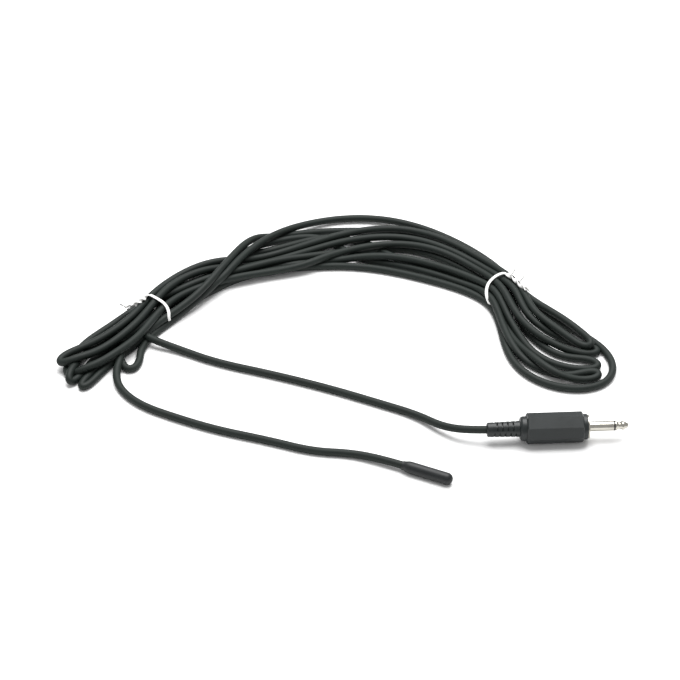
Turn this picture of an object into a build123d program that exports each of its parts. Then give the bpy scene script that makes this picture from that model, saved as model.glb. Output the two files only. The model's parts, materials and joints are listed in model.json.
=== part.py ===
from build123d import *
import math
import os

os.makedirs("parts", exist_ok=True)

# A contact temperature probe: a sheathed sensor on a long two-core lead, and a mono jack plug.
# Millimetres. The sensor lies along X on the surface z = 0, its nose towards +X, and the
# origin is under the middle of its sheath.

# Lead
cable_dia = 2.8
core_dia = 0.8
wire_dia = 0.4
core_gap = 0.02

# Sensor sheath and what it holds
sheath_length = 18.6
sheath_dia = 4.3
sheath_wall = 0.55
sheath_lip = 0.2
shoulder_length = 3.0
sensor_grip = 4.2
sensor_core_length = 2.4
lap_length = 1.3
bead_dia = 2.3
bead_length = 3.6
bead_tip_gap = 0.9
leg_dia = 0.3
splice_wall = 0.12
splice_clearance = 0.06
splice_overhang = 0.5

# Jack: the shaft and its contacts
shaft_length = 14.0
sleeve_dia = 3.5
sleeve_bore = 2.3
rod_dia = 1.3
ring_length = 0.6
tip_length = 4.7
tip_root_length = 0.35
flange_dia = 8.4
flange_thickness = 0.45
hub_dia = 5.0
hub_length = 3.0
lug_thickness = 0.4
lug_width = 1.8
lug_washer_dia = 4.6
rear_insulator_dia = 3.6
rear_insulator_length = 0.7
tip_washer_dia = 3.0
rivet_dia = 2.1
rivet_length = 0.4
tag_length = 4.6
tag_width = 1.4
lug_clearance = 0.1
lug_jog = 2.0
clamp_length = 1.8
clamp_wall = 0.4
clamp_mouth = 0.8
solder_dia = 1.5
wire_bare = 1.4
core_bend = 1.2
core_slope = 2.0

# Outline of the tip past its root: share of the tip's length, share of the shaft's radius
tip_profile_shares = (
    (0.26, 0.69),
    (0.36, 0.69),
    (0.52, 0.92),
    (0.62, 0.92),
    (0.93, 0.5),
    (1.0, 0.32),
)
# Handles of the curve of the sheath's shoulder: shares of its length
shoulder_shares = (0.4, 0.5)

# Plug mouldings
inner_mould_dia = 7.0
inner_mould_length = 17.6
inner_mould_round = 0.6
body_length = 23.8
body_flats = 10.05
body_chamfer = 0.45
front_collar_dia = 9.0
front_collar_length = 1.5
front_collar_round = 0.3
rear_collar_dia = 8.7
rear_collar_length = 2.3
rear_collar_round = 1.2
relief_length = 11.5
relief_rear_dia = 5.1
relief_front_dia = 5.7
relief_core_dia = 3.9
relief_ring = 2.3
relief_round = 0.35
slot_width = 0.55
slot_pitch = 0.94
slot_rib = 0.7
slot_count = 9
jacket_in_body = 5.4
cord_in_relief = 4.5
plug_x = 42.9
plug_y = 42.7
plug_heading = 27.7
plug_roll = -15.0

# Twist ties
tie_width = 1.25
tie_thickness = 0.6
twist_dia = 1.5
twist_length = 8.5
twist_clearance = 0.1
flag_length = 3.2
flag_width = 2.6
flag_thickness = 0.4
flag_lean = 35.0
seat_share = math.sqrt(0.5)
hank_straight = 3.6

# Stations of the hank from its left end to its right end: place on the surface, how many
# cable diameters it is wide and high there, and whether a tie lifts it off the surface.
hank_stations = (
    (-138.6, -6.8, 4.4, 2.0, False),
    (-136.8, 0.4, 5.5, 2.6, False),
    (-134.2, 11.0, 5.7, 3.0, False),
    (-131.4, 25.0, 5.1, 3.0, False),
    (-127.7, 41.8, 4.3, 3.0, True),
    (-121.4, 60.0, 6.4, 3.2, False),
    (-111.8, 83.0, 6.8, 2.8, False),
    (-99.8, 98.4, 9.2, 2.4, False),
    (-84.0, 109.5, 11.2, 2.2, False),
    (-57.0, 116.5, 11.2, 2.2, False),
    (-36.0, 114.5, 8.7, 2.6, False),
    (-25.5, 110.0, 6.4, 3.4, False),
    (-13.6, 102.6, 5.2, 4.4, True),
    (-2.4, 92.6, 7.4, 3.2, False),
    (8.2, 84.8, 12.0, 2.6, False),
    (22.0, 79.0, 13.1, 2.2, False),
    (35.0, 76.8, 8.3, 2.0, False),
)

# Routes of the two free tails and of the turn that leaves the hank in a small loop, chosen by hand:
# place on the surface, and how far the cable's underside is above it.
sensor_tail_route = (
    (-28.5, -0.8, 0.02),
    (-41.0, -5.6, 0.0),
    (-58.0, -6.8, 0.0),
    (-76.5, -9.3, 0.0),
    (-94.0, -9.4, 0.0),
    (-107.3, -8.6, 0.0),
    (-118.3, -4.1, 0.0),
    (-124.1, 2.9, 0.5),
    (-126.1, 10.6, 3.3),
    (-129.5, 18.0, 3.5),
)
plug_tail_route = (
    (-131.5, 28.0, 3.4),
    (-121.5, 24.6, 3.2),
    (-110.5, 25.6, 0.05),
    (-94.0, 24.4, 0.0),
    (-72.0, 26.9, 0.0),
    (-50.0, 28.2, 0.0),
    (-31.0, 28.1, 0.0),
    (-16.0, 27.9, 0.05),
    (-4.0, 23.6, 1.75),
)
exit_run = 5.5
sensor_run = 7.5
small_loop_route = (
    (-114.6, 64.0, 1.5),
    (-116.8, 55.5, 0.8),
    (-119.4, 46.0, 0.2),
    (-121.0, 38.5, 0.0),
    (-123.4, 28.5, 0.0),
    (-122.8, 19.5, 0.0),
    (-119.9, 13.6, 0.0),
    (-119.5, 8.9, 0.0),
    (-122.2, 7.3, 0.0),
    (-126.0, 10.6, 0.0),
    (-129.2, 14.2, 0.0),
)
arc_share = 0.45

# Places worked out from the sizes
cable_r = cable_dia / 2
core_offset = (core_dia + core_gap) / 2
sheath_r = sheath_dia / 2
sheath_rear = -sheath_length / 2
sheath_front = sheath_length / 2
body_front = -flange_thickness
body_rear = body_front - body_length
relief_rear = body_rear - relief_length
jacket_front = body_rear + jacket_in_body
body_corner_dia = body_flats / math.cos(math.pi / 8)
lowest_corner = math.radians(22.5 + plug_roll)
plug_height = body_corner_dia / 2 * math.cos(lowest_corner)
half_space = 4 * body_flats


# Shapes along X

def rod(start, stop, diameter, y=0.0, z=0.0):
    """Round bar along X between two stations."""
    bar = Cylinder(diameter / 2, abs(stop - start), align=(Align.CENTER, Align.CENTER, Align.MIN))
    return Pos(min(start, stop), y, z) * Rot(0, 90, 0) * bar


def turned(*points):
    """Body turned about X from a closed outline of (x, radius)."""
    return revolve(make_face(Polyline(*points, close=True)), Axis.X)


def strip(points, thickness, width):
    """Bent strip: its upper edge in the XZ plane, its thickness below that, its width along Y."""
    lower = [(x, z - thickness) for x, z in reversed(points)]
    outline = make_face(Polyline(*points, *lower, close=True))
    return Rot(90, 0, 0) * extrude(outline, amount=width / 2, both=True)


# Cable solids: straight runs joined by tangent arcs

def arc_radii(points):
    """Radius at each corner: a share of its shorter run, over the tangent of half the turn."""
    radii = []
    for before, corner, after in zip(points, points[1:], points[2:]):
        run_in = Vector(*corner) - Vector(*before)
        run_out = Vector(*after) - Vector(*corner)
        half_turn = math.radians(run_in.get_angle(run_out)) / 2
        radii.append(arc_share * min(run_in.length, run_out.length) / math.tan(half_turn))
    return radii


def tube(points, diameter, label):
    """Round tube along the filleted route; prints its radii and compares its volume."""
    radii = arc_radii(points)
    path = FilletPolyline(*points, radius=radii)
    start = Plane(origin=path @ 0, z_dir=path % 0)
    solid = sweep(start * Circle(diameter / 2), path=path)
    section = math.pi * diameter ** 2 / 4
    share = solid.volume / section / path.length
    print(label, "length", round(path.length, 1), "volume share", round(share, 4))
    print("  radii", [round(radius, 1) for radius in radii])
    return solid


def core_tube(points, diameter, bends):
    """Thin inner conductor or core with the given bend radii."""
    path = FilletPolyline(*points, radius=bends)
    return sweep(Plane(origin=path @ 0, z_dir=path % 0) * Circle(diameter / 2), path=path)


def on_surface(route):
    """Route rows (x, y, underside) as centre-line points."""
    return [(x, y, underside + cable_r) for x, y, underside in route]


def jacket_end(start, stop, side):
    """Cut end of the cable's jacket, bored for its two cores, which lie side by side."""
    end = rod(start, stop, cable_dia)
    for sign in (-1, 1):
        place = [sign * core_offset * share for share in side]
        end -= rod(start, stop, core_dia, *place)
    return end


# Sensor

def sensor_parts():
    """The sheathed sensor, in place: its axis is X at the height of half its diameter."""
    chamber_dia = sheath_dia - 2 * sheath_wall
    chamber_r = chamber_dia / 2
    lip_r = cable_r + sheath_lip
    step = sheath_rear + sensor_grip
    nose = sheath_front - sheath_r
    half = math.sqrt(0.5)

    shoulder = Bezier(
        (sheath_rear, lip_r), (sheath_rear + shoulder_shares[0] * shoulder_length, lip_r),
        (sheath_rear + shoulder_shares[1] * shoulder_length, sheath_r),
        (sheath_rear + shoulder_length, sheath_r))
    outline = Curve() + [
        shoulder,
        Line(shoulder @ 1, (nose, sheath_r)),
        ThreePointArc((nose, sheath_r), (nose + half * sheath_r, half * sheath_r), (sheath_front, 0)),
        Polyline((sheath_front, 0), (sheath_rear, 0), (sheath_rear, lip_r)),
    ]
    outer = revolve(make_face(outline), Axis.X)
    room = rod(step, nose, chamber_dia)
    room += Pos(nose, 0, 0) * Sphere(chamber_r)
    bore = rod(sheath_rear, step, cable_dia)
    parts = {"sensor_sheath": outer - room - bore}

    stub = jacket_end(sheath_rear, step, (1, 0))
    parts["sensor_jacket_end"] = stub
    core_stop = step + sensor_core_length
    wire_stop = core_stop + lap_length
    bead_stop = sheath_front - sheath_wall - bead_tip_gap
    bead_start = bead_stop - bead_length
    leg_side = core_offset + wire_dia / 2 + leg_dia / 2
    pair_side = core_offset + leg_dia / 2
    bore_dia = wire_dia + leg_dia + 2 * splice_clearance
    leg_start = core_stop + splice_clearance

    bead = rod(bead_start + bead_dia / 2, bead_stop - bead_dia / 2, bead_dia)
    bead += Pos(bead_start + bead_dia / 2, 0, 0) * Sphere(bead_dia / 2)
    bead += Pos(bead_stop - bead_dia / 2, 0, 0) * Sphere(bead_dia / 2)
    leg_stop = bead_start + bead_dia / 2
    held = stub + bead
    for name, sign in (("a", -1), ("b", 1)):
        core = rod(sheath_rear, core_stop, core_dia, sign * core_offset)
        wire = rod(core_stop, wire_stop, wire_dia, sign * core_offset)
        leg = rod(leg_start, leg_stop, leg_dia, sign * leg_side)
        bead -= leg
        joint = rod(core_stop, wire_stop + splice_overhang, bore_dia, sign * pair_side)
        sleeve = rod(core_stop, wire_stop + splice_overhang, bore_dia + 2 * splice_wall, sign * pair_side)
        parts[f"sensor_core_{name}"] = core + wire
        parts[f"thermistor_leg_{name}"] = leg
        parts[f"splice_solder_{name}"] = joint - wire - leg
        parts[f"splice_sleeve_{name}"] = sleeve - joint
        held += core + leg + sleeve
    parts["thermistor_bead"] = bead
    parts["sensor_potting"] = room - held
    return {name: Pos(0, 0, sheath_r) * solid for name, solid in parts.items()}


# Plug

def contact_parts():
    """Sleeve, tip and their insulators, turned about X; the shaft starts at x = 0."""
    sleeve_end = shaft_length - tip_length - ring_length
    hub_rear = body_front - hub_length
    washer_rear = hub_rear - lug_thickness
    insulator_rear = washer_rear - rear_insulator_length
    tag_rear = insulator_rear - lug_thickness

    sleeve = rod(hub_rear, 0, hub_dia) + rod(body_front, 0, flange_dia)
    sleeve += rod(0, sleeve_end, sleeve_dia)
    sleeve -= rod(hub_rear, sleeve_end, sleeve_bore)

    root = sleeve_end + ring_length
    insulator = rod(washer_rear, sleeve_end, sleeve_bore) + rod(sleeve_end, root, sleeve_dia)
    insulator -= rod(washer_rear, root, rod_dia)

    profile = [(root + along * tip_length, out * sleeve_dia / 2) for along, out in tip_profile_shares]
    tip = turned(
        (root, 0), (root, sleeve_dia / 2), (root + tip_root_length, sleeve_dia / 2), *profile,
        (shaft_length, 0))
    tip += rod(tag_rear, root, rod_dia) + rod(tag_rear - rivet_length, tag_rear, rivet_dia)

    return {
        "sleeve_contact": sleeve,
        "tip_insulator": insulator,
        "tip_contact": tip,
        "rear_insulator": rod(insulator_rear, washer_rear, rear_insulator_dia)
        - rod(insulator_rear, washer_rear, rod_dia),
    }


def lug_parts():
    """Solder lugs, cores and solder behind the contacts."""
    hub_rear = body_front - hub_length
    washer_rear = hub_rear - lug_thickness
    tag_front = washer_rear - rear_insulator_length
    tag_rear = tag_front - lug_thickness
    clamp_front = jacket_front - clamp_wall
    clamp_rear = clamp_front - clamp_length

    drop = -(rear_insulator_dia / 2 + lug_clearance)
    jog_front = tag_rear - rivet_length
    arm = strip(
        [(hub_rear, drop), (jog_front, drop), (jog_front - lug_jog, -cable_r), (clamp_rear, -cable_r)],
        lug_thickness, lug_width)
    clamp = rod(clamp_rear, clamp_front, cable_dia + 2 * clamp_wall)
    mouth = Pos((clamp_front + clamp_rear) / 2, 0, cable_r) * Box(clamp_length, clamp_mouth, cable_dia)
    washer = rod(washer_rear, hub_rear, lug_washer_dia)
    sleeve_lug = arm + clamp + washer - mouth
    sleeve_lug -= rod(clamp_rear, clamp_front, cable_dia) + rod(washer_rear, hub_rear, sleeve_bore)

    tag_top = tip_washer_dia / 2
    tag_end = tag_front - tag_length
    tag_thickness = tag_top - rivet_dia / 2 - lug_clearance
    tag = strip([(tag_front, tag_top), (tag_end, tag_top)], tag_thickness, tag_width)
    tip_lug = rod(tag_rear, tag_front, tip_washer_dia) + tag
    tip_lug -= rod(tag_rear, tag_front, rod_dia)

    core_top = tag_top + wire_dia / 2 + core_gap
    core_low = -cable_r + core_dia / 2 + core_gap
    tip_strip = tag_end - core_dia / 2
    low_strip = jog_front - lug_jog - 2 * solder_dia
    cores = {
        "tip": (core_offset, core_top, tip_strip, jacket_front + 3 * core_slope),
        "sleeve": (-core_offset, core_low, low_strip, jacket_front + 2 * core_slope),
    }
    parts = {"sleeve_lug": sleeve_lug, "tip_lug": tip_lug}
    lands = {"tip": tag_top, "sleeve": -cable_r}
    lugs = {"tip": tip_lug, "sleeve": sleeve_lug}
    for name, (height, raised, stripped, upper_bend) in cores.items():
        core = core_tube(
            [(jacket_front, 0, height), (jacket_front + core_slope, 0, height), (upper_bend, 0, raised),
             (stripped, 0, raised)], core_dia, [core_bend, core_bend])
        core += rod(relief_rear + cord_in_relief, jacket_front, core_dia, 0, height)
        core += rod(stripped, stripped + wire_bare, wire_dia, 0, raised)
        blob = Pos(stripped + wire_bare / 2, 0, lands[name]) * Sphere(solder_dia / 2)
        above = Pos(stripped, 0, lands[name]) * Box(
            half_space, half_space, half_space, align=(Align.MIN, Align.CENTER, Align.MIN))
        parts[f"plug_core_{name}"] = core
        parts[f"{name}_solder"] = (blob & above) - core - lugs[name]
    return parts


def relief_slots():
    """Rows of moulded windows in the strain relief: opposite quarters, turned a quarter at each step."""
    slots = []
    first = relief_rear + relief_ring
    quarter = Box(slot_width, relief_front_dia, relief_front_dia, align=(Align.MIN, Align.MIN, Align.MIN))
    quarter = Pos(0, slot_rib / 2, slot_rib / 2) * quarter
    for step in range(slot_count):
        start = first + step * slot_pitch
        core = rod(start, start + slot_width, relief_core_dia)
        for turn in (0, 180):
            slots.append(Pos(start, 0, 0) * Rot(turn + 90 * (step % 2), 0, 0) * quarter - core)
    return slots


def body_outside():
    """Octagonal over-moulding with its two round collars and the strain relief, one moulding."""
    front_end = body_front - front_collar_length
    rear_end = body_rear + rear_collar_length
    octagon = RegularPolygon(body_flats / 2, 8, major_radius=False, rotation=22.5)
    grip = extrude(Plane.YZ.offset(rear_end) * octagon, amount=front_end - rear_end)
    ends = grip.faces().filter_by(Axis.X).edges()
    grip = chamfer(ends, body_chamfer)
    collar = rod(front_end - body_chamfer, body_front, front_collar_dia)
    collar = fillet(collar.edges().sort_by(Axis.X)[-1], front_collar_round)
    rear = rod(body_rear, rear_end + body_chamfer, rear_collar_dia)
    rear = fillet(rear.edges().sort_by(Axis.X)[0], rear_collar_round)
    relief = turned(
        (relief_rear, 0), (relief_rear, relief_rear_dia / 2 - relief_round),
        (relief_rear + relief_round, relief_rear_dia / 2),
        (body_rear + relief_round, relief_front_dia / 2), (body_rear + relief_round, 0))
    return grip + collar + rear + (relief - relief_slots())


def plug_parts():
    """Every piece of the plug, in the plug's own axes, then set down on the surface."""
    parts = contact_parts() | lug_parts()
    stub = jacket_end(relief_rear + cord_in_relief, jacket_front, (0, 1))
    mould_rear = body_front - inner_mould_length
    mould = rod(mould_rear, body_front, inner_mould_dia)
    mould = fillet(mould.edges().sort_by(Axis.X)[0], inner_mould_round)
    held = list(parts.values())
    parts["plug_overmould"] = body_outside() - mould - held - rod(relief_rear, jacket_front, cable_dia)
    parts["plug_inner_mould"] = mould - held
    parts["plug_jacket_end"] = stub
    place = Pos(plug_x, plug_y, plug_height) * Rot(0, 0, plug_heading) * Rot(plug_roll, 0, 0)
    return {name: place * solid for name, solid in parts.items()}


# Hank and ties

def hank_frames():
    """Each station as a plane across the hank, with its width, its height and its lift."""
    spots = [Vector(x, y, 0) for x, y, *_ in hank_stations]
    frames = []
    for index, (x, y, lanes, layers, tied) in enumerate(hank_stations):
        ahead = spots[min(index + 1, len(spots) - 1)] - spots[max(index - 1, 0)]
        heading = ahead.normalized()
        width = lanes * cable_dia
        height = layers * cable_dia
        lift = tie_thickness if tied else 0
        across = Vector(0, 0, 1).cross(heading)
        plane = Plane(origin=(x, y, lift + height / 2), x_dir=across, z_dir=heading)
        frames.append((plane, width, height, tied))
    return frames


def hank_solid():
    """Outer shape of the bundled turns: slots lofted along the arch, straight under each tie."""
    sections = []
    for plane, width, height, tied in hank_frames():
        offsets = (-hank_straight / 2, hank_straight / 2) if tied else (0,)
        sections += [plane.offset(offset) * SlotOverall(width, height) for offset in offsets]
    return loft(sections, ruled=True)


def tie_solid(plane, width, height, way, outward, rise):
    """Twist tie: a band round the bundle, and its twisted ends lying away from it with two flags."""
    outer = SlotOverall(width + 2 * tie_thickness, height + 2 * tie_thickness)
    ring = extrude(outer - SlotOverall(width, height), amount=tie_width / 2, both=True)
    seat_r = (height + twist_dia) / 2 + twist_clearance
    seat = Vector((width - height) / 2 + seat_r * seat_share, seat_r * seat_share, 0)
    run = Vector(outward, rise, way).normalized()
    tail = Plane(origin=seat, z_dir=run) * Cylinder(
        twist_dia / 2, twist_length, align=(Align.CENTER, Align.CENTER, Align.MIN))
    root = Pos(*seat) * Sphere(twist_dia / 2)
    flag = Box(flag_width, flag_thickness, flag_length, align=(Align.CENTER, Align.CENTER, Align.MIN))
    for distance, lean in ((twist_length, flag_lean), (twist_length - flag_length, -flag_lean)):
        spot = Plane(origin=seat + run * (distance - twist_dia), z_dir=run)
        tail += spot * Rot(0, lean, 0) * flag
    return plane.location * (ring + root + tail)


nodes = {}
nodes |= sensor_parts()
nodes |= plug_parts()

hank = hank_solid()
nodes["cable_hank"] = hank
ties = [frame[:3] for frame in hank_frames() if frame[3]]
nodes["left_tie"] = tie_solid(*ties[0], -1, 0.45, 0.05)
nodes["right_tie"] = tie_solid(*ties[1], 1, 0.35, 0.4)

heading = Vector(math.cos(math.radians(plug_heading)), math.sin(math.radians(plug_heading)), 0)
shoulder = Vector(plug_x, plug_y, plug_height)
relief_exit = shoulder + heading * relief_rear
sensor_end = (sheath_rear, 0, sheath_r)
plug_end = relief_exit + heading * cord_in_relief
plug_corner = relief_exit - heading * exit_run

sensor_lead = (sheath_rear - sensor_run, 0, sheath_r)
sensor_tail = tube([sensor_end, sensor_lead] + on_surface(sensor_tail_route), cable_dia, "cable_sensor_tail")
plug_tail = tube(
    on_surface(plug_tail_route) + [tuple(plug_corner), tuple(plug_end)], cable_dia, "cable_plug_tail")
small_loop = tube(on_surface(small_loop_route), cable_dia, "cable_small_loop")
nodes["cable_sensor_tail"] = sensor_tail - hank
nodes["cable_plug_tail"] = plug_tail - hank
nodes["cable_small_loop"] = small_loop - hank

for name, solid in nodes.items():
    export_step(solid, f"parts/{name}.step")
    print(name, len(solid.solids()), round(solid.volume, 2))
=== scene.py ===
import json
import math

import bpy
import numpy as np
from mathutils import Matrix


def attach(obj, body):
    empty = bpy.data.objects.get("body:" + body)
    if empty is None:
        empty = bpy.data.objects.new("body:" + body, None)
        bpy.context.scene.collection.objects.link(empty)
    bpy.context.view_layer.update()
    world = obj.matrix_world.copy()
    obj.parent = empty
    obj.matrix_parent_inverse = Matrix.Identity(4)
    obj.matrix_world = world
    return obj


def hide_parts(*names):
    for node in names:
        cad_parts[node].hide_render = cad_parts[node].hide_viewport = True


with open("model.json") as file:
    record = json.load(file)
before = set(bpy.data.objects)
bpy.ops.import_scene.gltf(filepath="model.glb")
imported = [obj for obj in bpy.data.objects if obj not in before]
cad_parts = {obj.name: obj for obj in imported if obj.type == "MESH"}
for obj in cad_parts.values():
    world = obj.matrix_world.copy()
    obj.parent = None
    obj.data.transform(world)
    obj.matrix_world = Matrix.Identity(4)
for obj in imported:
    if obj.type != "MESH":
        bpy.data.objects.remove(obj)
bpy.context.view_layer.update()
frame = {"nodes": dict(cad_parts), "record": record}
milli = 0.001
nodes = frame["nodes"]


# Camera, fitted to the jack's known diameter and to the outline of the sensor sheath

view = {
    "place": (0.21808, -0.5436, 0.517),  # metres
    "heading": 24.8,  # degrees about Z
    "down": 38.0,  # degrees below level
    "lens": 120.0,
    "sensor": 36.0,
    "nearest": 0.01,  # metres
    "furthest": 20.0,
}
cameraData = bpy.data.cameras.new("camera")
cameraData.lens = view["lens"]
cameraData.sensor_width = view["sensor"]
cameraData.clip_start = view["nearest"]
cameraData.clip_end = view["furthest"]
camera = bpy.data.objects.new("camera", cameraData)
camera.location = view["place"]
camera.rotation_euler = (math.radians(90 - view["down"]), 0, math.radians(view["heading"]))
bpy.context.collection.objects.link(camera)
bpy.context.scene.camera = camera
print("camera")


# The cable is one spline, in millimetres. The tails repeat the part's route, but their hidden
# ends lie lower. The turns of the hank are points given pass after pass, which are
# then pressed apart and settled on the floor.

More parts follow.
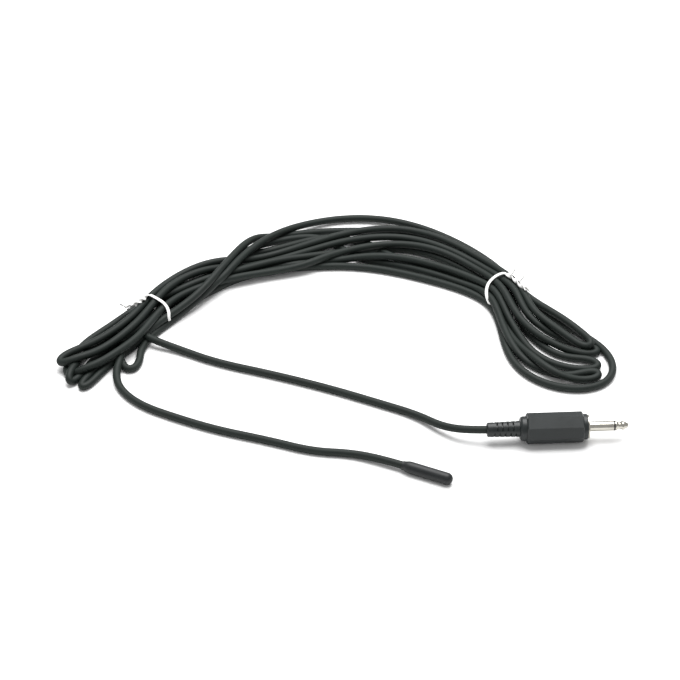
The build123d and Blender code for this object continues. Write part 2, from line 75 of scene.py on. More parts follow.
cable = {
    "diameter": 2.8,
    "curveSteps": 5,  # along the tube, for each point of the route
    "roundSteps": 5,  # round the tube
    "lengthSteps": 8,  # for measuring its length
    "settling": {
        "rounds": 120,
        "samples": 4,  # spline points for each point of the route
        "neighbours": 9,  # samples along the strand that don't push each other
        "spacing": 1.01,  # diameters between centre lines
        "sink": 0.05,  # millimetres in the first round, falling to nothing in the last
        "stiffness": 0.2,
        "pull": 0.09,  # share of the way back to the line of sight
    },
    "sensorTail": [
        (-9.3, 0, 2.15), (-16.8, 0, 2.15), (-28.5, -0.8, 1.42), (-41, -5.6, 1.4), (-58, -6.8, 1.4),
        (-76.5, -9.3, 1.4), (-94, -9.4, 1.4), (-107.3, -8.6, 1.4), (-118.3, -4.1, 1.4),
        (-124.1, 2.9, 1.9), (-126.1, 10.6, 3.1), (-129.5, 18, 2.8)],
    # The ten passes of the hank and their nine folds, from the plug's end to the sensor's
    "turns": [
        [(-111.7, 63.8, 7.2), (-111.2, 69.9, 8.2), (-111.1, 76.7, 8.2), (-110.4, 83.6, 7.8),
         (-109.2, 91.9, 7.0), (-106.9, 99.4, 5.8), (-104.0, 106.7, 4.6), (-99.7, 115.9, 3.0),
         (-93.0, 124.9, 1.8), (-82.9, 131.5, 1.5), (-71.0, 133.9, 1.8), (-59.9, 133.1, 2.7),
         (-45.2, 128.5, 4.0), (-32.1, 121.9, 5.6), (-23.1, 115.7, 6.7), (-16.2, 110.7, 7.2),
         (-10.9, 107.5, 7.0), (-6.8, 105.4, 6.2), (-2.6, 104.2, 5.0), (1.9, 103.0, 4.2),
         (6.2, 102.2, 3.4), (10.7, 100.9, 3.0), (15.6, 98.5, 3.0), (20.6, 95.5, 3.0), (24.4, 92.5, 3.2)],
        [(26.2, 91.5, 3.3), (27.9, 88.7, 3.8)],
        [(26.6, 85.2, 4.4), (23.4, 85.4, 5.0), (20.0, 87.1, 5.6), (14.9, 89.1, 6.2), (10.4, 90.6, 6.8),
         (5.9, 92.4, 7.2), (2.6, 94.3, 7.6), (-0.7, 97.3, 8.0), (-4.1, 101.4, 8.6), (-8.3, 105.8, 9.0),
         (-14.4, 109.1, 8.8), (-22.8, 113.9, 7.8), (-30.8, 118.7, 6.4), (-39.2, 123.9, 5.2),
         (-49.0, 127.3, 4.4), (-57.7, 127.9, 4.0), (-65.9, 127.2, 3.7), (-72.9, 123.6, 3.8),
         (-79.4, 119.0, 3.8), (-85.2, 112.7, 4.1), (-90.5, 105.7, 4.3), (-95.6, 98.4, 4.6),
         (-100.9, 91.4, 4.8), (-105.1, 86.0, 4.8), (-109.2, 82.2, 4.8), (-114.1, 79.9, 4.8),
         (-120.0, 78.0, 4.9), (-125.1, 71.3, 5.4), (-128.4, 61.2, 6.2), (-129.5, 51.4, 7.4),
         (-129.9, 42.8, 8.2), (-130.0, 36.8, 8.6), (-130.3, 31.9, 8.4), (-131.1, 27.2, 7.9),
         (-132.5, 22.1, 7.4), (-134.0, 17.3, 7.0), (-135.9, 13.0, 6.6), (-137.8, 9.1, 6.3),
         (-140.1, 5.8, 6.0), (-142.3, 2.9, 5.6)],
        [(-144.5, 0.9, 5.0), (-144.7, -2.4, 4.8), (-142.2, -4.6, 4.6)],
        [(-139.9, -2.0, 4.6), (-137.7, 1.3, 4.9), (-135.4, 4.7, 5.2), (-133.4, 8.5, 5.6),
         (-131.5, 12.6, 6.0), (-129.9, 17.3, 6.4), (-128.4, 22.1, 7.0), (-126.9, 27.2, 8.0),
         (-126.5, 31.9, 8.8), (-126.8, 40.3, 9.2), (-127.3, 48.2, 8.6), (-126.0, 56.9, 7.6),
         (-122.6, 66.6, 6.2), (-118.3, 73.1, 5.2), (-113.4, 75.1, 4.4), (-108.8, 77.9, 3.8),
         (-104.9, 82.1, 3.8), (-99.5, 88.7, 3.8), (-94.2, 95.4, 3.8), (-88.6, 101.7, 3.9),
         (-83.0, 108.0, 4.0), (-76.8, 113.2, 4.0), (-70.4, 117.9, 4.0), (-63.5, 121.6, 4.0),
         (-53.7, 123.4, 4.3), (-42.3, 121.5, 4.8), (-29.1, 114.4, 6.2), (-22.3, 110.8, 7.4),
         (-15.9, 107.7, 8.4), (-11.0, 105.5, 8.8), (-7.6, 102.7, 8.2), (-5.1, 98.9, 7.4),
         (-2.1, 95.4, 6.8), (1.1, 92.8, 6.2), (4.5, 90.7, 5.8), (7.9, 89.2, 5.4), (11.9, 87.9, 4.8),
         (15.8, 87.1, 4.0), (19.6, 87.6, 3.2), (23.1, 88.8, 2.4), (26.4, 90.5, 1.8)],
        [(29.3, 90.7, 1.8), (31.3, 88.4, 2.0)],
        [(29.0, 85.3, 2.2), (26.1, 83.7, 2.8), (22.8, 82.0, 3.8), (17.8, 81.5, 5.0), (14.0, 81.6, 5.8),
         (9.8, 82.6, 6.4), (5.3, 84.3, 7.0), (0.8, 86.9, 7.4), (-3.8, 90.8, 7.8), (-7.9, 95.1, 8.4),
         (-11.6, 101.0, 8.8), (-16.7, 104.8, 8.4), (-22.1, 108.3, 7.0), (-27.9, 111.6, 5.6),
         (-36.1, 116.5, 4.8), (-45.7, 119.6, 4.4), (-54.0, 119.3, 4.2), (-61.6, 117.3, 4.0),
         (-68.4, 113.5, 4.0), (-74.5, 108.2, 4.1), (-79.9, 101.3, 4.0), (-82.7, 98.0, 4.0),
         (-85.4, 94.8, 3.9), (-87.9, 91.2, 3.8), (-90.6, 87.8, 3.8), (-94.9, 83.5, 3.8),
         (-99.3, 79.6, 4.0), (-103.8, 75.6, 4.2), (-107.9, 71.2, 4.6), (-111.6, 65.8, 5.2),
         (-115.3, 60.7, 6.0), (-118.5, 54.6, 6.6), (-121.4, 48.2, 7.2), (-122.6, 42.6, 7.6),
         (-123.0, 37.7, 7.6), (-123.7, 33.5, 7.0), (-123.9, 26.9, 6.2), (-124.1, 21.9, 5.8),
         (-125.4, 16.7, 5.4), (-127.1, 12.1, 5.0), (-128.7, 7.6, 4.6), (-130.6, 3.5, 4.2),
         (-132.8, -0.0, 3.7), (-135.3, -3.0, 3.2), (-137.1, -5.0, 2.8)],
        [(-139.3, -7.1, 2.4), (-141.7, -2.3, 1.8)],
        [(-143.1, 6.7, 1.8), (-142.9, 11.6, 2.4), (-141.7, 15.4, 3.0), (-139.9, 19.8, 3.4),
         (-138.1, 24.2, 3.8), (-136.8, 29.4, 4.0), (-135.4, 34.4, 4.0), (-133.8, 39.2, 3.8),
         (-131.7, 43.2, 3.8), (-128.4, 47.5, 4.8), (-124.3, 53.4, 5.8), (-119.8, 61.2, 6.2),
         (-116.2, 66.6, 5.8), (-112.2, 71.2, 5.4), (-106.7, 77.3, 4.9), (-101.8, 84.5, 3.8),
         (-97.8, 89.3, 1.8), (-93.7, 94.2, 1.5), (-88.4, 101.2, 1.4), (-83.3, 104.9, 1.4),
         (-76.4, 107.6, 1.4), (-71.0, 111.8, 1.4), (-65.1, 115.7, 1.4), (-59.3, 118.0, 1.4),
         (-52.9, 118.9, 1.6), (-44.9, 117.8, 2.0), (-35.0, 114.1, 2.7), (-27.3, 110.2, 3.4),
         (-20.9, 106.6, 4.5), (-16.3, 106.0, 5.4), (-11.5, 103.7, 5.4), (-8.0, 100.0, 5.0),
         (-5.3, 96.2, 4.0), (-2.4, 92.6, 3.0), (1.0, 88.9, 2.2), (4.8, 86.5, 1.8), (9.3, 83.9, 1.6),
         (13.7, 81.7, 1.5), (17.7, 80.3, 1.5), (21.3, 80.1, 1.5), (24.3, 81.4, 1.5), (27.2, 83.1, 1.6)],
        [(31.5, 83.4, 1.7), (34.0, 80.7, 1.8), (33.1, 77.5, 1.8)],
        [(29.3, 76.1, 1.8), (24.5, 74.4, 1.8), (19.2, 74.1, 1.8), (13.8, 75.2, 2.0), (8.3, 77.2, 2.4),
         (3.2, 80.1, 3.2), (-1.5, 83.9, 4.2), (-5.9, 88.5, 5.4), (-9.8, 93.5, 7.0), (-13.4, 99.5, 7.4),
         (-18.8, 104.1, 6.4), (-24.9, 106.3, 4.4), (-33.1, 109.4, 3.8), (-41.8, 110.3, 3.6),
         (-50.3, 110.6, 3.6), (-58.2, 109.6, 3.6), (-65.6, 107.1, 3.6), (-72.3, 103.3, 3.6),
         (-78.9, 99.2, 3.1), (-85.4, 94.7, 2.5), (-92.2, 91.2, 1.8), (-98.8, 87.0, 1.6),
         (-104.8, 81.8, 1.8), (-110.2, 75.5, 2.2), (-113.3, 69.0, 3.0), (-116.6, 62.9, 3.2),
         (-120.0, 57.2, 3.4), (-123.1, 51.0, 3.6), (-125.0, 45.0, 3.8), (-126.4, 39.7, 3.2),
         (-127.5, 34.6, 2.4), (-128.6, 29.6, 1.8), (-130.0, 24.4, 1.5), (-131.2, 19.0, 1.4),
         (-132.5, 13.8, 1.4), (-134.4, 9.7, 1.4), (-135.0, 8.0, 2.0), (-135.9, 4.4, 1.8),
         (-136.0, 0.9, 1.6)],
        [(-136.3, -5.1, 1.5), (-136.2, -9.5, 2.0), (-136.4, -9.3, 3.4), (-137.9, -4.0, 3.2)],
        [(-139.4, 2.1, 2.0), (-140.5, 7.9, 1.4), (-139.6, 11.5, 1.4), (-138.0, 14.7, 1.6),
         (-136.7, 18.3, 1.8), (-135.3, 22.6, 2.0), (-133.8, 27.6, 2.2), (-132.9, 32.8, 2.4),
         (-132.0, 39.0, 2.6), (-130.5, 44.9, 2.6), (-128.7, 50.1, 2.4), (-126.5, 57.3, 2.0),
         (-122.4, 65.8, 1.6), (-119.5, 71.7, 1.6), (-117.0, 78.7, 1.8), (-115.2, 85.4, 2.4),
         (-113.1, 91.6, 2.6), (-110.8, 97.5, 1.8), (-107.0, 102.1, 1.4), (-102.7, 105.8, 1.4),
         (-98.2, 109.2, 1.4), (-92.7, 112.2, 1.4), (-87.5, 111.3, 1.4), (-81.2, 107.8, 1.4),
         (-74.7, 103.8, 1.4), (-69.8, 104.3, 1.4), (-64.0, 106.5, 1.4), (-58.2, 107.7, 1.4),
         (-49.1, 108.1, 1.4), (-40.6, 107.5, 1.5), (-31.5, 105.7, 1.8), (-24.3, 102.9, 3.1),
         (-19.1, 100.9, 4.2), (-14.7, 96.9, 5.0), (-10.6, 91.3, 5.0), (-6.9, 85.5, 4.6),
         (-2.9, 80.6, 4.0), (0.8, 77.1, 3.4), (5.4, 74.0, 2.6), (10.0, 71.7, 2.0), (14.5, 70.2, 1.7),
         (18.8, 69.2, 1.5), (22.8, 68.9, 1.4), (26.0, 70.5, 1.4), (28.6, 74.0, 1.5), (31.2, 77.3, 1.6)],
        [(34.2, 78.1, 1.7), (36.6, 74.5, 2.2)],
        [(34.4, 70.3, 2.5), (30.5, 68.5, 3.0), (27.0, 67.3, 3.6), (23.2, 67.3, 4.0), (19.0, 68.1, 4.2),
         (14.5, 69.8, 4.2), (10.1, 72.2, 4.0), (5.9, 75.1, 4.0), (1.3, 79.2, 4.0), (-3.0, 84.2, 4.0),
         (-7.1, 89.6, 4.0), (-11.4, 95.8, 4.0), (-16.4, 101.4, 3.8), (-23.5, 106.1, 2.6),
         (-32.2, 109.3, 1.6), (-40.9, 111.2, 1.4), (-49.9, 111.8, 1.4), (-60.2, 110.3, 1.4),
         (-65.1, 111.7, 1.4), (-70.5, 114.4, 1.4), (-74.8, 114.5, 1.4), (-79.7, 113.8, 1.4),
         (-84.2, 113.5, 1.4), (-90.7, 110.6, 1.6), (-95.3, 106.6, 2.0), (-99.3, 101.5, 2.6),
         (-103.2, 96.2, 3.0), (-107.1, 91.8, 2.8), (-111.8, 87.3, 2.0), (-117.9, 83.9, 1.4),
         (-121.7, 79.4, 1.4), (-124.5, 69.7, 1.4), (-125.8, 59.1, 1.5), (-126.5, 49.9, 1.6),
         (-128.8, 43.1, 1.5), (-128.4, 35.3, 1.4), (-128.5, 27.9, 1.4), (-129.2, 20.0, 1.4),
         (-130.5, 12.5, 1.4), (-131.7, 6.4, 1.4), (-132.1, 0.5, 1.4)],
        [(-132.8, -4.3, 1.4), (-132.2, -9.0, 1.6), (-129.3, -11.1, 2.2)],
        [(-128.9, -6.4, 2.2), (-129.7, 1.5, 1.5), (-128.9, 6.8, 1.6), (-127.9, 12.5, 1.8),
         (-126.2, 17.7, 2.4), (-124.9, 23.0, 3.0), (-123.6, 28.4, 3.6), (-122.0, 33.3, 4.4),
         (-120.3, 39.6, 5.0), (-118.0, 45.6, 5.8), (-115.4, 52.9, 6.6), (-113.8, 60.4, 7.6),
         (-113.5, 67.4, 8.0), (-113.9, 74.3, 8.0), (-114.4, 81.4, 7.6), (-114.6, 88.0, 6.6),
         (-114.7, 95.0, 5.0), (-113.9, 99.3, 3.4), (-111.7, 101.9, 2.2), (-108.5, 103.4, 1.8),
         (-105.7, 105.7, 1.8), (-102.9, 108.0, 2.0), (-99.4, 110.6, 2.0), (-94.3, 113.6, 2.0),
         (-87.6, 117.9, 1.8), (-80.6, 121.6, 1.5), (-73.3, 124.4, 1.4), (-65.7, 126.8, 1.4),
         (-57.7, 128.1, 1.5), (-48.9, 127.4, 1.7), (-39.3, 124.5, 2.2), (-31.6, 120.8, 2.9),
         (-23.8, 116.8, 3.4), (-17.1, 113.5, 2.9), (-10.6, 110.5, 2.0), (-4.3, 107.0, 1.6),
         (1.6, 104.2, 1.4), (6.8, 101.0, 1.4), (11.6, 98.8, 1.4), (16.2, 97.2, 1.4), (20.3, 96.2, 1.4),
         (26.0, 93.9, 1.4), (31.5, 90.6, 1.4), (36.2, 86.6, 1.4)],
        [(39.2, 81.2, 1.4)],
        [(39.7, 74.5, 1.4), (37.4, 69.6, 1.4), (33.0, 66.0, 1.4), (27.0, 63.6, 1.4), (20.8, 62.9, 1.4),
         (14.1, 64.2, 1.4), (8.2, 66.9, 1.4), (3.0, 70.9, 1.4), (-1.0, 76.6, 1.4), (-4.8, 83.1, 1.4),
         (-9.3, 90.9, 1.5), (-13.6, 97.0, 2.0), (-17.4, 100.0, 2.5), (-23.9, 101.9, 2.0),
         (-30.4, 103.0, 1.6), (-38.8, 103.3, 1.4), (-47.0, 103.0, 1.4), (-55.2, 102.8, 1.4),
         (-63.4, 102.2, 1.4), (-70.9, 100.2, 1.4), (-78.1, 97.4, 1.4), (-85.2, 94.4, 1.4),
         (-92.1, 90.9, 1.4), (-98.5, 86.5, 1.4), (-102.8, 82.2, 1.4), (-106.9, 77.5, 1.5),
         (-110.4, 72.4, 1.8), (-112.5, 67.3, 2.2), (-114.5, 60.6, 2.8), (-117.4, 53.1, 3.0),
         (-120.5, 46.1, 3.0), (-122.4, 40.2, 3.0), (-123.4, 34.1, 3.2), (-124.3, 28.0, 3.2),
         (-125.1, 21.9, 3.0), (-125.9, 17.2, 2.8)],
    ],
    "smallLoop": [
        (-114.2, 63.2, 5.4), (-116.3, 55, 3.4), (-119.2, 45.8, 2), (-121, 38.5, 1.4),
        (-123.4, 28.5, 1.4), (-122.8, 19.5, 1.4), (-119.9, 13.6, 1.4), (-119.5, 8.9, 1.4),
        (-122.2, 7.3, 1.4), (-126, 10.6, 1.4), (-129.2, 14.2, 1.4)],
    "hiddenArc": [(-134.0, 18.6, 1.4), (-136.2, 24.4, 1.6), (-135.0, 29.0, 2.0)],
    "plugTail": [
        (-131.5, 28, 2.6), (-121.5, 24.6, 3.4), (-110.5, 25.6, 1.45), (-94, 24.4, 1.4),
        (-72, 26.9, 1.4), (-50, 28.2, 1.4), (-31, 28.1, 1.4), (-16, 27.9, 1.45), (-4, 23.6, 3.15),
        (6.78, 23.74, 5.39), (15.63, 28.39, 5.39)],
    "exit": (-9.3, 0.0, 2.15),
}


def splineWeights(count, steps):
    # Rows of weights that turn control points into points on a second-degree spline, without its
    # very last point. Along a span, t goes from 0 to 1, and the three weights are
    # head * (1 - t) ** 2, the rest, and tail * t ** 2. Head and tail are a half, but 1 at the ends.
    first = np.repeat(np.arange(count - 2), steps)
    t = np.tile(np.arange(steps) / steps, count - 2)
    head = np.where(first == 0, 1, 0.5) * (1 - t) ** 2
    tail = np.where(first == count - 3, 1, 0.5) * t ** 2
    row = np.arange(len(t))
    weights = np.zeros((len(t), count))
    weights[row, first] = head
    weights[row, first + 1] = 1 - head - tail
    weights[row, first + 2] = tail
    return weights


def settle(points, held, diameter, settling):
    # Each point is free along the line of sight it was traced on, and is drawn back to that line
    # from beside it. Points sink away along it until the floor or other strands hold them,
    # strands closer than the spacing push each other apart, and a stiffness evens out the bends.
    width = diameter * settling["spacing"]
    floorHeight = diameter / 2
    tiny = 1e-9
    traced = points.copy()
    weights = splineWeights(len(points), settling["samples"])
    share = weights.sum(axis=0)[:, None]
    loose = (~held)[:, None].astype(float)
    order = np.arange(len(weights))
    apart = np.abs(order[:, None] - order[None, :]) > settling["neighbours"]
    sight = points - np.array(view["place"]) / milli
    sight /= np.linalg.norm(sight, axis=1)[:, None]
    for turn in range(settling["rounds"]):
        line = weights @ points
        gap = line[:, None, :] - line[None, :, :]
        distance = np.sqrt((gap ** 2).sum(axis=2)) + tiny
        near = (distance < width) & apart
        first, second = np.nonzero(near)
        depth = (width - distance[first, second])[:, None]
        shove = gap[first, second] / distance[first, second][:, None] * depth
        push = np.zeros_like(line)
        np.add.at(push, first, shove / 2)
        crowd = np.bincount(first, minlength=len(line))[:, None]
        push /= np.maximum(1, crowd / 2)
        push[:, 2] += np.maximum(0, floorHeight - line[:, 2])
        sink = settling["sink"] * (1 - turn / settling["rounds"]) * sight
        move = weights.T @ push / share + sink
        bend = np.zeros_like(points)
        bend[1:-1] = (points[:-2] + points[2:]) / 2 - points[1:-1]
        ease = np.zeros_like(points)
        ease[1:-1] = (bend[:-2] + bend[2:]) / 2 - bend[1:-1]
        back = traced - points
        back -= (back * sight).sum(axis=1)[:, None] * sight
        points = points + loose * (move - settling["stiffness"] * ease + settling["pull"] * back)
        points[:, 2] = np.where(held, points[:, 2], np.maximum(points[:, 2], floorHeight))
    print("  closest strands", round(float(distance[apart].min()), 3), "mm")
    print("  furthest from the traced line", round(float(np.linalg.norm(back, axis=1).max()), 2), "mm")
    return points


fromPlug = np.concatenate([np.array(rows, float) for rows in cable["turns"]])
sensorTail = np.array(cable["sensorTail"])
ending = np.concatenate([np.array(cable[name]) for name in ("smallLoop", "hiddenArc", "plugTail")])
route = np.concatenate([sensorTail, fromPlug[::-1], ending])
# Only the turns of the hank move
held = np.zeros(len(route), bool)
held[:len(sensorTail)] = True
held[-len(ending):] = True
route = settle(route, held, cable["diameter"], cable["settling"])
route *= milli

cableCurve = bpy.data.curves.new("cable", "CURVE")
cableCurve.dimensions = "3D"
cableCurve.resolution_u = cable["curveSteps"]
cableCurve.bevel_depth = 1.0
cableCurve.bevel_resolution = cable["roundSteps"]
spline = cableCurve.splines.new("NURBS")
spline.points.add(len(route) - 1)
spline.points.foreach_set("co", np.column_stack([route, np.ones(len(route))]).ravel())
spline.points.foreach_set("radius", np.full(len(route), cable["diameter"] / 2 * milli))
spline.order_u = 3
spline.use_endpoint_u = True
cableObject = bpy.data.objects.new("cable", cableCurve)
bpy.context.collection.objects.link(cableObject)
centreLine = splineWeights(len(route), cable["lengthSteps"]) @ route
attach(cableObject, "root")
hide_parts("cable_sensor_tail", "cable_plug_tail", "cable_small_loop", "cable_hank")


# The ties, in millimetres: a band round the strands, two twisted ends, and flags of crumpled film

tie = {
    "around": 12,  # points in a ring of a ribbon
    "boxiness": 0.6,  # 1 gives an ellipse, less a flatter section
    "bandWidth": 1.25,
    "bandRise": 0.42,
    "bandSteps": 120,
    "bandRounds": 14,
    "endWidth": 1.1,
    "endRise": 0.42,
    "endOffset": 0.38,
    "endSteps": 14,
    "filmRise": 0.14,
    "filmSteps": 8,
    "filmTilt": (0.35, -0.5, 0.8),
    "edgeWave": 0.18,
    "edgeTurn": 1.3,
    "ripple": {"height": 0.24, "rings": 6, "along": 5, "across": 3, "middle": 0.3},
    "left": {
        "forward": (0.42, 0.91, 0),
        "twist": 9.0,  # radians
        "ring": [
            (-131.2, 42.2, 8.6), (-129.2, 41.7, 8.8), (-126.6, 41.2, 8.5), (-124.3, 40.8, 7.9),
            (-122.5, 40.0, 7.0), (-121.1, 38.7, 6.0), (-120.3, 37.1, 4.7), (-120.8, 38.5, 1.5),
            (-123.0, 39.5, 0.4), (-128.5, 43.5, 0.4), (-131.8, 44.4, 2.5), (-132.0, 43.4, 6.0)],
        "ends": [(-131.1, 41.9, 8.7), (-131.7, 39.0, 8.8), (-132.6, 36.8, 8.4), (-134.1, 35.5, 7.2)],
        # Each flag is its width, the width of its tip and its line
        "flags": [
            (2.5, 1.2, [(-133.9, 36.1, 7.3), (-135.1, 34.3, 7.2), (-136.8, 32.8, 7.5), (-139.0, 32.7, 8.5)]),
            (1.8, 0.8, [(-134.4, 36.1, 7.4), (-135.0, 33.8, 6.9), (-135.5, 32.0, 6.6)])],
    },
    "right": {
        "forward": (0.93, -0.37, 0),
        "twist": 9.0,
        "ring": [
            (-14.9, 97.1, 1.6), (-16.6, 97.5, 3.2), (-18.1, 98.9, 4.9), (-19.2, 101.4, 6.0),
            (-19.5, 104.0, 7.0), (-18.8, 106.7, 7.8), (-17.7, 109.0, 8.2), (-16.2, 110.8, 8.4),
            (-14.2, 110.7, 8.4), (-13.2, 112.0, 6.0), (-13.0, 111.5, 2.5), (-13.4, 108.5, 0.4),
            (-14.0, 101.0, 0.4)],
        "ends": [
            (-14.5, 110.4, 8.7), (-12.0, 109.2, 8.8), (-9.3, 107.5, 8.7), (-6.6, 105.7, 8.4),
            (-4.1, 104.5, 7.9)],
        "flags": [
            (2.0, 1.2, [(-12.5, 109.4, 9.0), (-12.0, 110.6, 10.2), (-11.7, 111.6, 11.5)]),
            (2.6, 1.5, [(-8.2, 106.8, 8.8), (-7.5, 108.4, 9.8), (-7.2, 109.9, 11.2)]),
            (1.6, 0.7, [(-5.7, 105.4, 8.4), (-4.1, 105.7, 8.0), (-2.7, 105.1, 7.4)])],
    },
}


def unit(rows):
    # Each row brought to a length of 1
    return rows / np.linalg.norm(rows, axis=1)[:, None]


def smoothPath(rows, steps):
    # Points along the spline that the rows control
    return splineWeights(len(rows), steps) @ np.array(rows, float)


def ribbon(path, side, width, rise, crumpled=False, closed=False):
    # A flat tube. With a the angle round its section, each of its rings is
    # path + side * width / 2 * cos(a) + up * (rise / 2 * sin(a) ** boxiness + wave), where the
    # power keeps the sign of sin(a). Where the tube is crumpled,
    # wave = height * sin(along * ring / rings + across * cos(a)) * (middle + |cos(a)|).
    if closed:
        along = np.roll(path, -1, axis=0) - np.roll(path, 1, axis=0)
    else:
        along = np.gradient(path, axis=0)
    along = unit(along)
    side = unit(side - (side * along).sum(axis=1)[:, None] * along)
    up = np.cross(along, side)
    around = tie["around"]
    angle = np.arange(around) / around * 2 * np.pi
    across = np.cos(angle)
    lift = np.sign(np.sin(angle)) * np.abs(np.sin(angle)) ** tie["boxiness"]
    rings = len(path)
    ripple = tie["ripple"]
    phase = ripple["along"] * (np.arange(rings)[:, None] / ripple["rings"]) + ripple["across"] * across
    wave = crumpled * ripple["height"] * np.sin(phase) * (ripple["middle"] + np.abs(across))
    width = np.broadcast_to(width, rings)[:, None]
    points = (path[:, None, :] + side[:, None, :] * (width * across / 2)[..., None]
              + up[:, None, :] * (rise * lift / 2 + wave)[..., None])
    here = np.arange(rings if closed else rings - 1)[:, None] * around
    there = (here + around) % (rings * around)
    corner = np.arange(around)
    nextCorner = (corner + 1) % around
    quads = np.stack([here + corner, here + nextCorner, there + nextCorner, there + corner], axis=2)
    faces = list(quads.reshape(-1, 4))
    if not closed:
        faces += [corner[::-1], (rings - 1) * around + corner]
    return points.reshape(-1, 3), faces


def tieBand(place):
    # The given loop, evened out by averaging each point with its neighbours
    rows = np.array(place["ring"])
    share = np.arange(tie["bandSteps"]) / tie["bandSteps"] * len(rows)
    rows = np.vstack([rows, rows[:1]])
    ring = np.column_stack([np.interp(share, np.arange(len(rows)), column) for column in rows.T])
    for _ in range(tie["bandRounds"]):
        ring = (np.roll(ring, 1, axis=0) + ring * 2 + np.roll(ring, -1, axis=0)) / 4
    forward = np.tile(np.array(place["forward"], float), (len(ring), 1))
    return ribbon(ring, forward, tie["bandWidth"], tie["bandRise"], closed=True)


def twistedEnds(place):
    # Two ribbons wound round one line, half a turn apart: each is line + swing * endOffset, where
    # swing = cos(turn) * level + sin(turn) * upward
    line = smoothPath(place["ends"], tie["endSteps"])
    turn = np.linspace(0, place["twist"], len(line))
    along = unit(np.gradient(line, axis=0))
    level = unit(np.cross(along, np.array([0, 0, 1.0])))
    upward = np.cross(along, level)
    ends = []
    for phase in (0, math.pi):
        swing = np.cos(turn + phase)[:, None] * level + np.sin(turn + phase)[:, None] * upward
        ends.append(ribbon(line + swing * tie["endOffset"], swing, tie["endWidth"], tie["endRise"]))
    return ends


def filmFlags(place):
    # Crumpled ribbons that narrow from wide to tip; step by step, the width is also multiplied
    # by 1 + edgeWave * sin(step * edgeTurn)
    flags = []
    for wide, tip, rows in place["flags"]:
        line = smoothPath(rows, tie["filmSteps"])
        wave = 1 + tie["edgeWave"] * np.sin(np.arange(len(line)) * tie["edgeTurn"])
        width = np.linspace(wide, tip, len(line)) * wave
        tilt = np.tile(np.array(tie["filmTilt"]), (len(line), 1))
        flags.append(ribbon(line, tilt, width, tie["filmRise"], crumpled=True))
    return flags


def meshOf(name, ribbons, owner):
    # One mesh of all the ribbons; owner is the node of the part that it takes the place of
    points = []
    faces = []
    start = 0
    for ribbonPoints, ribbonFaces in ribbons:
        points.append(ribbonPoints)
        faces += [(face + start).tolist() for face in ribbonFaces]
        start += len(ribbonPoints)
    mesh = bpy.data.meshes.new(name)
    mesh.from_pydata((np.concatenate(points) * milli).tolist(), [], faces)
    mesh.polygons.foreach_set("use_smooth", [True] * len(mesh.polygons))
    mesh.update()
    piece = bpy.data.objects.new(name, mesh)
    bpy.context.collection.objects.link(piece)
    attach(piece, "root")
    if owner:
        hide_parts(owner)
    return piece


tiePieces = []
for key in ("left", "right"):
    tiePieces.append(meshOf(key + "Tie", [tieBand(tie[key]), *twistedEnds(tie[key])], key + "_tie"))
    tiePieces.append(meshOf(key + "Film", filmFlags(tie[key]), None))
print("ties", len(tiePieces))


# Shader nodes as values: a sum or a product of two adds a Math node

class Signal:
    def __init__(self, tree, socket):
        self.tree = tree
        self.socket = socket

    def node(self, kind, inputs=None, output=0, **settings):
        made = self.tree.nodes.new(kind)
        for key, value in settings.items():
            setattr(made, key, value)
        for key, value in (inputs or {}).items():
            if isinstance(value, Signal):
                self.tree.links.new(value.socket, made.inputs[key])
            else:
                made.inputs[key].default_value = value
        return Signal(self.tree, made.outputs[output])

    def combine(self, operation, left, right):
        return self.node("ShaderNodeMath", {0: left, 1: right}, operation=operation)

    def __add__(self, other):
        return self.combine("ADD", self, other)

    def __radd__(self, other):
        return self.combine("ADD", other, self)

    def __mul__(self, other):
        return self.combine("MULTIPLY", self, other)

    def __rmul__(self, other):
        return self.combine("MULTIPLY", other, self)

    def noise(self, scale, detail=3.0, roughness=0.5):
        return self.node("ShaderNodeTexNoise", {"Vector": self, "Scale": scale, "Detail": detail,
                                                "Roughness": roughness})

    def ramp(self, low, high, start=0.0, stop=1.0):
        return self.node("ShaderNodeMapRange", {0: self, 1: low, 2: high, 3: start, 4: stop})

    def blend(self, first, second):
        return self.node("ShaderNodeMix", {0: self, 6: first, 7: second}, output=2, data_type="RGBA")


def material(name, build):
    made = bpy.data.materials.new(name)
    made.use_nodes = True
    tree = made.node_tree
    shader = tree.nodes["Principled BSDF"]
    place = Signal(tree, tree.nodes.new("ShaderNodeTexCoord").outputs["Object"])
    for key, value in build(place).items():
        if isinstance(value, Signal):
            tree.links.new(value.socket, shader.inputs[key])
        else:
            shader.inputs[key].default_value = value
    return made


# How the broad patches and the fine grain of a plastic share its tone and its roughness, and
# between which levels of noise they change over
plastic = {
    "patchTone": 0.7, "toneLow": 0.35, "toneHigh": 0.65,
    "patchRough": 0.6, "roughLow": 0.3, "roughHigh": 0.7, "smoother": 0.06, "rougher": 0.08,
    "bump": 0.35,
}


def moulded(dark, light, rough, grain, depth, patches=90.0, index=1.46):
    # Plastic with faint patches of tone and gloss, and a fine moulded grain
    def build(place):
        patch = place.noise(patches, detail=4.0, roughness=0.6)
        fine = place.noise(grain, detail=2.0)
        tone = patch * plastic["patchTone"] + fine * (1 - plastic["patchTone"])
        shine = patch * plastic["patchRough"] + fine * (1 - plastic["patchRough"])
        bump = {"Strength": plastic["bump"], "Distance": depth, "Height": fine}
        return {
            "Base Color": tone.ramp(plastic["toneLow"], plastic["toneHigh"]).blend((*dark, 1), (*light, 1)),
            "Roughness": shine.ramp(plastic["roughLow"], plastic["roughHigh"],
                                    rough - plastic["smoother"], rough + plastic["rougher"]),
            "Normal": place.node("ShaderNodeBump", bump),
            "IOR": index,
        }
    return build


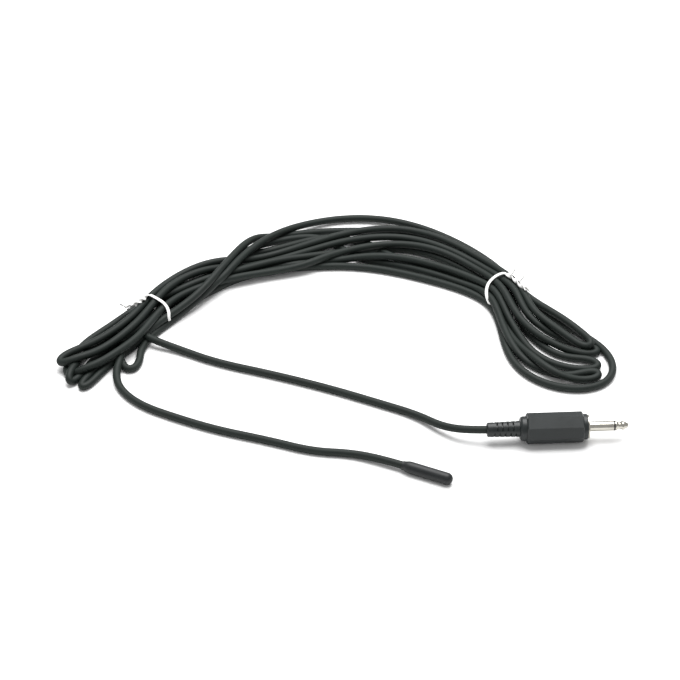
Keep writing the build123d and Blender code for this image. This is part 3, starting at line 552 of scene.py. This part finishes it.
plating = {
    "stretch": (2600, 2600, 400),  # per metre in X, Y and Z, so the scratches run up and down
    "smears": 420.0, "smearLow": 0.35, "smearHigh": 0.7, "wornTone": 0.86,
    "smearRough": 0.6, "roughLow": 0.3, "roughHigh": 0.7, "smoother": 0.04, "rougher": 0.1,
    "bump": 0.12, "depth": 0.00001,
}


def plated(tint, rough):
    # Nickel, tin or solder: fine scratches, and patches where handling has dulled it
    def build(place):
        stretch = {0: place, 1: plating["stretch"]}
        stretched = place.node("ShaderNodeVectorMath", stretch, operation="MULTIPLY")
        lines = stretched.noise(1.0, detail=2.0)
        smear = place.noise(plating["smears"])
        shine = smear * plating["smearRough"] + lines * (1 - plating["smearRough"])
        bump = {"Strength": plating["bump"], "Distance": plating["depth"], "Height": lines}
        worn = tuple(channel * plating["wornTone"] for channel in tint)
        dulled = smear.ramp(plating["smearLow"], plating["smearHigh"])
        return {
            "Base Color": dulled.blend((*tint, 1), (*worn, 1)),
            "Metallic": 1.0,
            "Roughness": shine.ramp(plating["roughLow"], plating["roughHigh"],
                                    rough - plating["smoother"], rough + plating["rougher"]),
            "Normal": place.node("ShaderNodeBump", bump),
        }
    return build


# The film's dark tone is painted shade: it follows the crumple's hollows, and the grey stands in for shade
# on the clear film
filmWithCreaseShade = {
    "patches": 900.0, "low": 0.35, "high": 0.65,
    "dark": (0.22, 0.22, 0.21, 1), "light": (0.6, 0.6, 0.58, 1),
    "thin": 0.45, "thick": 0.9, "rough": 0.3, "bump": 0.4, "depth": 0.0001,
}


def film(place):
    # Clear plastic film of the tie, crumpled and half see-through. Its colour darkens where the crumple is
    # low, so the hollows carry painted shade.
    look = filmWithCreaseShade
    patch = place.noise(look["patches"])
    bump = {"Strength": look["bump"], "Distance": look["depth"], "Height": patch}
    return {
        # painted shade: the noise that lowers the crumple's bump also darkens the colour there
        "Base Color": patch.ramp(look["low"], look["high"]).blend(look["dark"], look["light"]),
        "Roughness": look["rough"],
        "Alpha": patch.ramp(look["low"], look["high"], look["thin"], look["thick"]),
        "Normal": place.node("ShaderNodeBump", bump),
    }


looks = {
    "cable_jacket": moulded((0.0055, 0.0092, 0.0076), (0.0105, 0.0158, 0.0134), rough=0.6,
                            grain=2600.0, depth=0.00004, patches=60.0, index=1.36),
    "plug_rubber": moulded((0.0075, 0.0105, 0.0105), (0.012, 0.0155, 0.016), rough=0.38,
                           grain=3200.0, depth=0.00003, patches=160.0, index=1.42),
    "sheath_black": moulded((0.0065, 0.008, 0.0088), (0.0105, 0.0125, 0.0135), rough=0.46,
                            grain=3600.0, depth=0.00002, patches=220.0, index=1.4),
    "tie_plastic": moulded((0.78, 0.78, 0.76), (0.86, 0.86, 0.85), rough=0.35,
                           grain=900.0, depth=0.00005, patches=300.0),
    "insulator_black": moulded((0.012, 0.012, 0.012), (0.02, 0.02, 0.02), rough=0.4,
                               grain=3000.0, depth=0.00001),
    "nickel_plate": plated((0.5, 0.48, 0.43), rough=0.18),
    "inner_polymer": moulded((0.3, 0.3, 0.28), (0.4, 0.4, 0.38), rough=0.5, grain=1500.0, depth=0.00002),
    "tinned_brass": plated((0.72, 0.68, 0.58), rough=0.28),
    "core_insulation_red": moulded((0.4, 0.03, 0.02), (0.5, 0.05, 0.04), rough=0.4,
                                   grain=1500.0, depth=0.00001),
    "core_insulation_black": moulded((0.015, 0.015, 0.015), (0.025, 0.025, 0.025), rough=0.4,
                                     grain=1500.0, depth=0.00001),
    "solder": plated((0.6, 0.6, 0.6), rough=0.3),
    "potting_resin": moulded((0.03, 0.03, 0.03), (0.05, 0.05, 0.05), rough=0.3,
                             grain=900.0, depth=0.00001),
    "thermistor_epoxy": moulded((0.015, 0.015, 0.015), (0.025, 0.025, 0.025), rough=0.3,
                                grain=900.0, depth=0.00001),
    "tinned_copper": plated((0.68, 0.64, 0.6), rough=0.3),
}
made = {name: material(name, build) for name, build in looks.items()}
slotOf = {entry["node"]: entry["material_slot"] for entry in frame["record"]["subparts"]}
for name, piece in nodes.items():
    piece.data.materials.clear()
    piece.data.materials.append(made[slotOf[name]])
cableCurve.materials.append(made["cable_jacket"])
filmLook = material("film", film)
for piece in tiePieces:
    piece.data.materials.append(made["tie_plastic"] if piece.name.endswith("Tie") else filmLook)
print("materials", len(made))


# Floor, light and background, in metres and watts

studio = {
    "floorTone": (0.92, 0.92, 0.92, 1),
    "floorRough": 0.9,
    "floorReach": 4.0,
    "skyTone": (1, 1, 1, 1),
    "skyStrength": 0.57,
    "lampPlace": (-0.2, 0.5, 1.3),
    "lampAim": (-0.04, 0.05, 0),
    "lampSize": 1.4,
    "lampPower": 34,
}
floorMaterial = bpy.data.materials.new("floor")
floorMaterial.use_nodes = True
floorShader = floorMaterial.node_tree.nodes["Principled BSDF"]
floorShader.inputs["Base Color"].default_value = studio["floorTone"]
floorShader.inputs["Roughness"].default_value = studio["floorRough"]
reach = studio["floorReach"]
floorCorners = [(-reach, -reach, 0), (reach, -reach, 0), (reach, reach, 0), (-reach, reach, 0)]
floorMesh = bpy.data.meshes.new("floor")
floorMesh.from_pydata(floorCorners, [], [(0, 1, 2, 3)])
floorMesh.materials.append(floorMaterial)
floor = bpy.data.objects.new("floor", floorMesh)
bpy.context.collection.objects.link(floor)

world = bpy.data.worlds.new("world")
world.use_nodes = True
bpy.context.scene.world = world
sky = world.node_tree.nodes["Background"]
sky.inputs["Color"].default_value = studio["skyTone"]
sky.inputs["Strength"].default_value = studio["skyStrength"]
bpy.context.scene.view_settings.view_transform = "Standard"


def lamp(name, place, aim, size, power):
    # A round area lamp that faces the point it is aimed at
    data = bpy.data.lights.new(name, "AREA")
    data.shape = "DISK"
    data.size = size
    data.energy = power
    light = bpy.data.objects.new(name, data)
    light.location = place
    offset = np.array(aim, float) - np.array(place, float)
    level = math.hypot(offset[0], offset[1])
    light.rotation_euler = (math.atan2(level, -offset[2]), 0, math.atan2(-offset[0], offset[1]))
    bpy.context.collection.objects.link(light)


lamp("top", studio["lampPlace"], studio["lampAim"], studio["lampSize"], studio["lampPower"])
print("stage")
